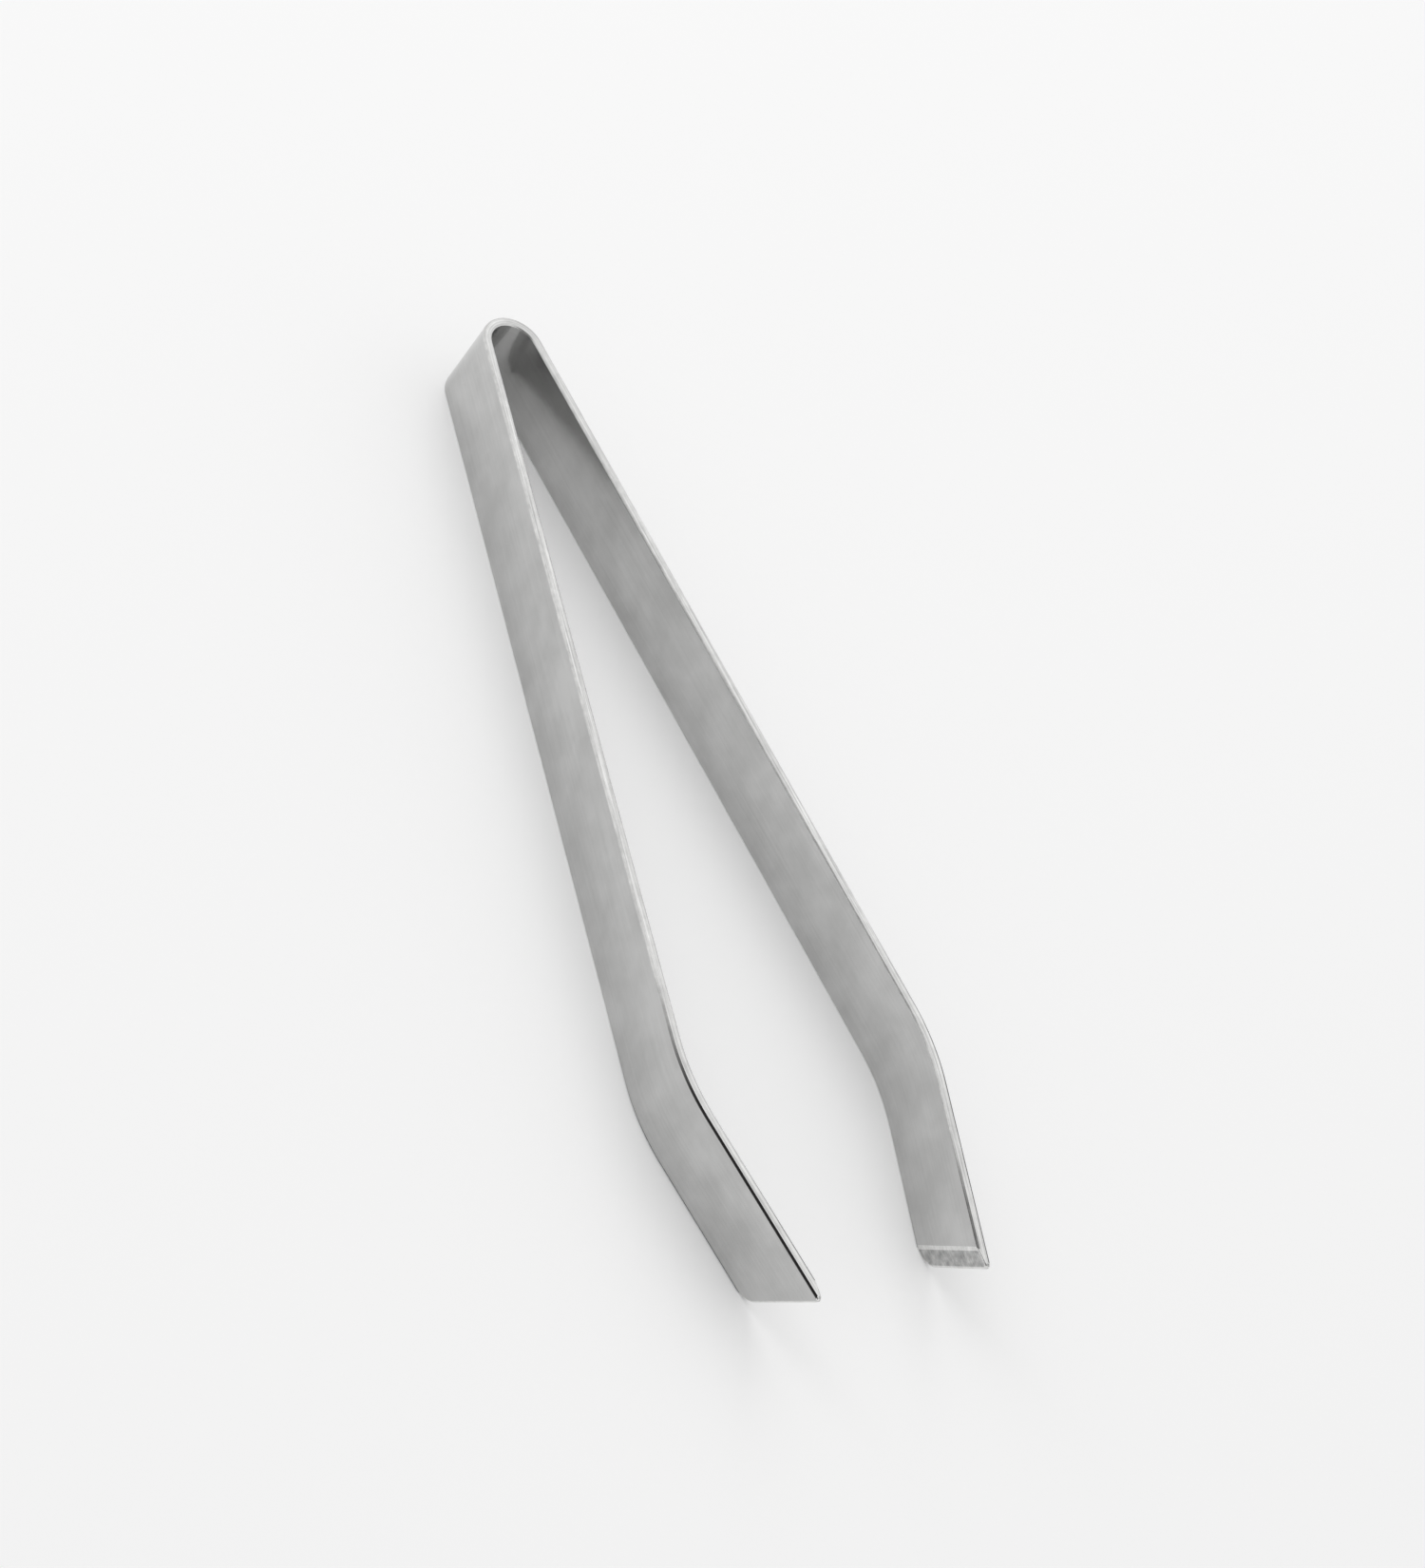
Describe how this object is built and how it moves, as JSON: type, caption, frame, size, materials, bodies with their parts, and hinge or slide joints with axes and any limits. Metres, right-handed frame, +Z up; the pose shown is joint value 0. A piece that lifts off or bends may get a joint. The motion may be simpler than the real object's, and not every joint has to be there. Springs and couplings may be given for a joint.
{
  "type": "strip tweezers",
  "caption": "Springy strip-steel tweezers with a U bow, diverging arms that bend back in, and slanted tips with a bevel ground on the inner faces.",
  "frame": {"origin": "crown of the bow, in the middle of the strip's thickness, on the surface that the tweezers lie on", "axes": "+Y from the tips towards the bow, +X across the opening from the left arm to the right arm, +Z up along the strip's width"},
  "size_m": [0.0352, 0.13, 0.011],
  "materials": {
    "strip_steel": "satin-brushed stainless strip with brighter cut edges"
  },
  "bodies": {
    "bow": {"bow": "strip_steel"},
    "left_arm": {"left_arm": "strip_steel"},
    "right_arm": {"right_arm": "strip_steel"}
  },
  "joints": [
    {"name": "right_arm_flex", "type": "hinge", "parent": "bow", "child": "right_arm", "pos_m": [0.00579, -0.01894, 0.0055], "axis": [0, 0, -1], "range_deg": [-3, 5.95], "stiffness_Nm_per_rad": 5.5},
    {"name": "left_arm_flex", "type": "hinge", "parent": "bow", "child": "left_arm", "pos_m": [-0.00579, -0.01894, 0.0055], "axis": [0, 0, 1], "range_deg": [-3, 5.95], "stiffness_Nm_per_rad": 5.5}
  ],
  "couplings": [
    {"joint": "left_arm_flex", "follows": "right_arm_flex", "ratio": 1}
  ]
}
